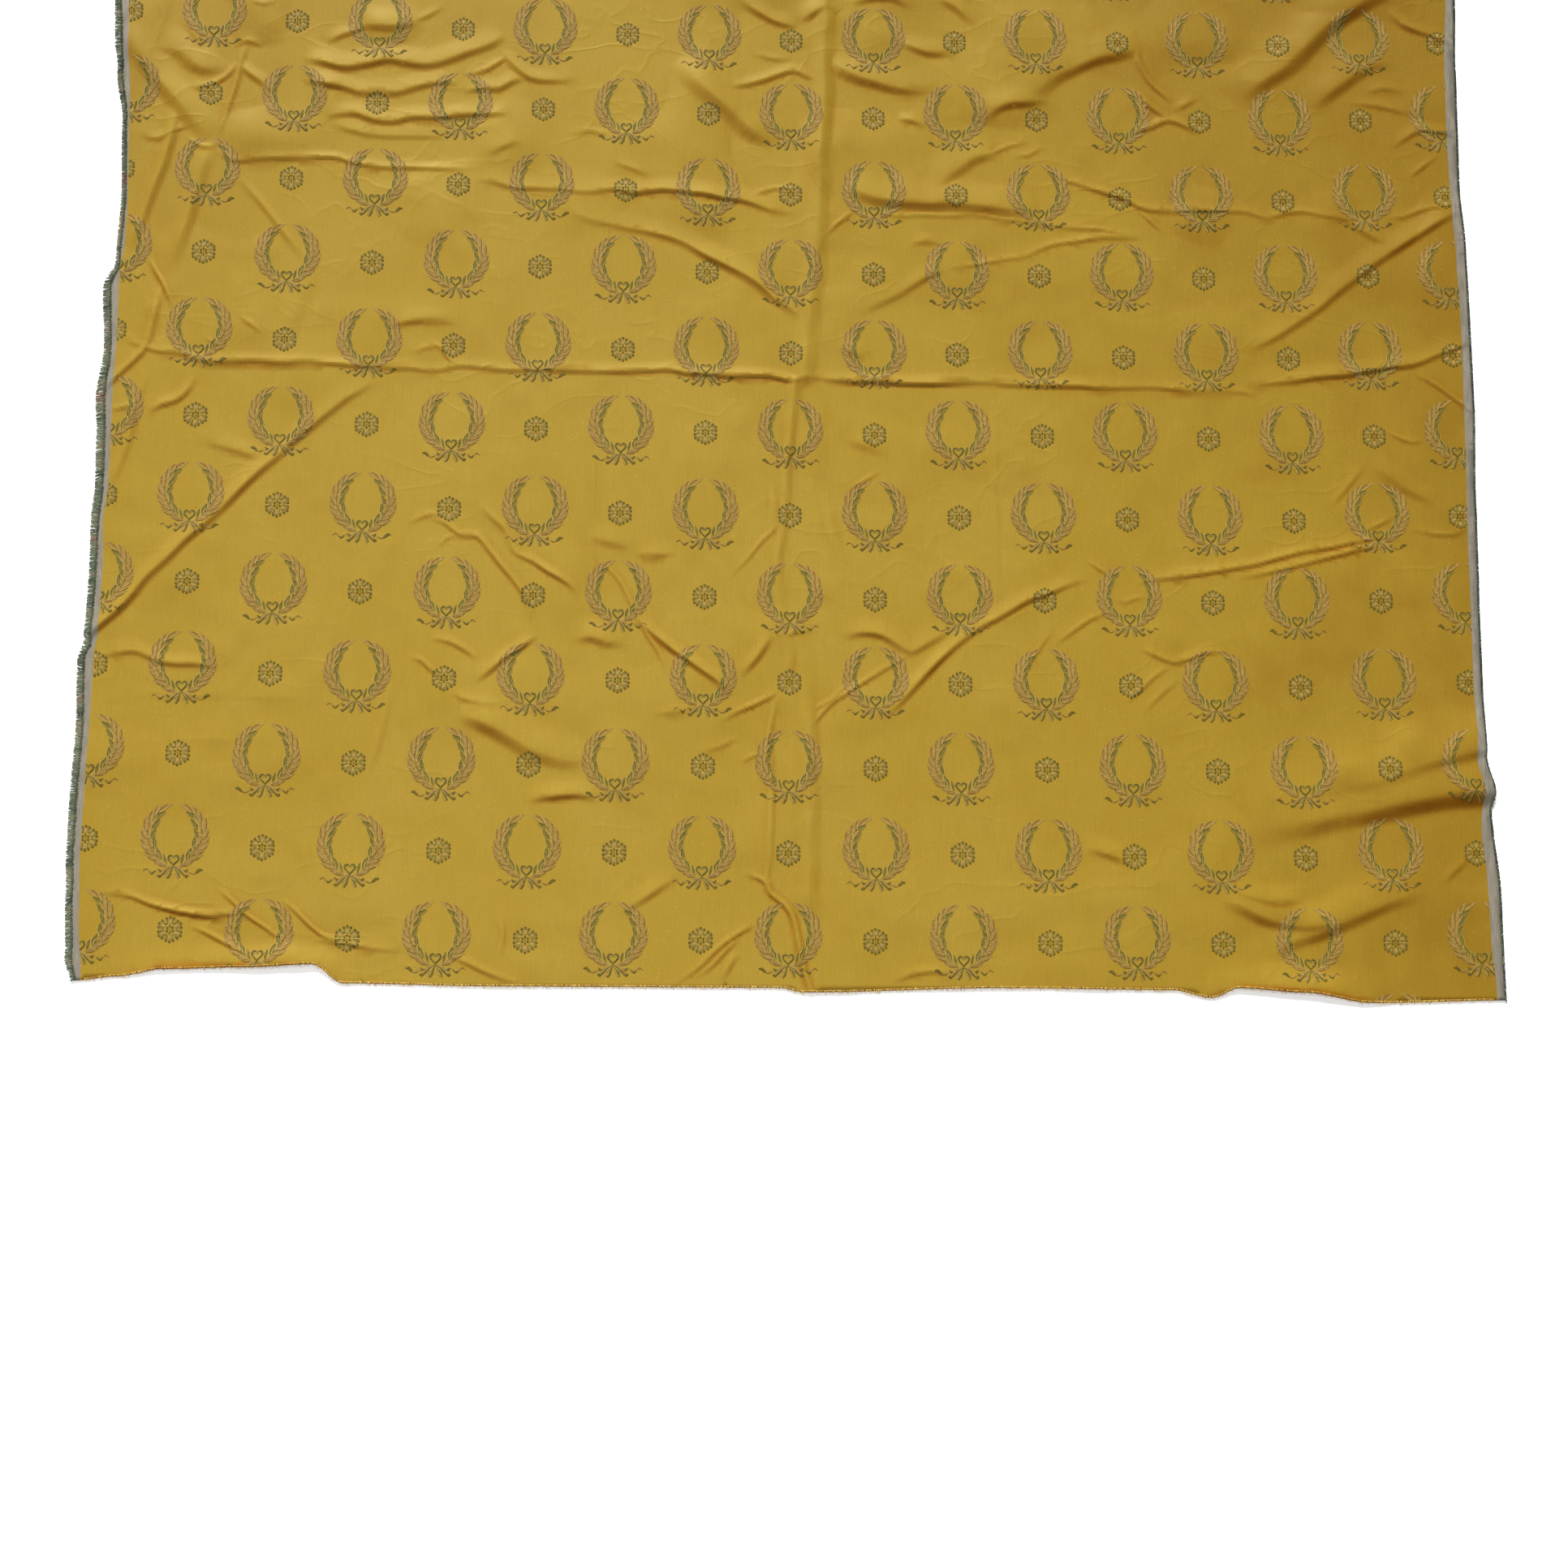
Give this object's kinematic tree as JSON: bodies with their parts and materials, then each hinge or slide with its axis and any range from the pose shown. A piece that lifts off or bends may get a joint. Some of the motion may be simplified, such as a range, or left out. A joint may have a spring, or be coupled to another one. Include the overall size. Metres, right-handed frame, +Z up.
{
  "type": "length of brocaded silk satin fabric",
  "caption": "Full-width length of gold silk satin brocaded with laurel wreaths and rosettes, lying nearly flat in soft creases, for curtains, covers and upholstery.",
  "frame": {"origin": "middle of the cloth's outline, on the surface that it lies on", "axes": "+X across the width to the right, seen from above with the raw cut end nearest; +Y along the length, away from the cut end; +Z up, out of the satin face"},
  "size_m": [1.34, 1.0199, 0.0155],
  "materials": {
    "gold_satin": "silk satin with a soft sheen",
    "pattern_weft": "matt spun silk, mottled green and brown"
  },
  "bodies": {
    "root": {"satin_cloth": "gold_satin", "weft_fringe_left": "pattern_weft", "weft_fringe_right": "pattern_weft"}
  },
  "joints": []
}
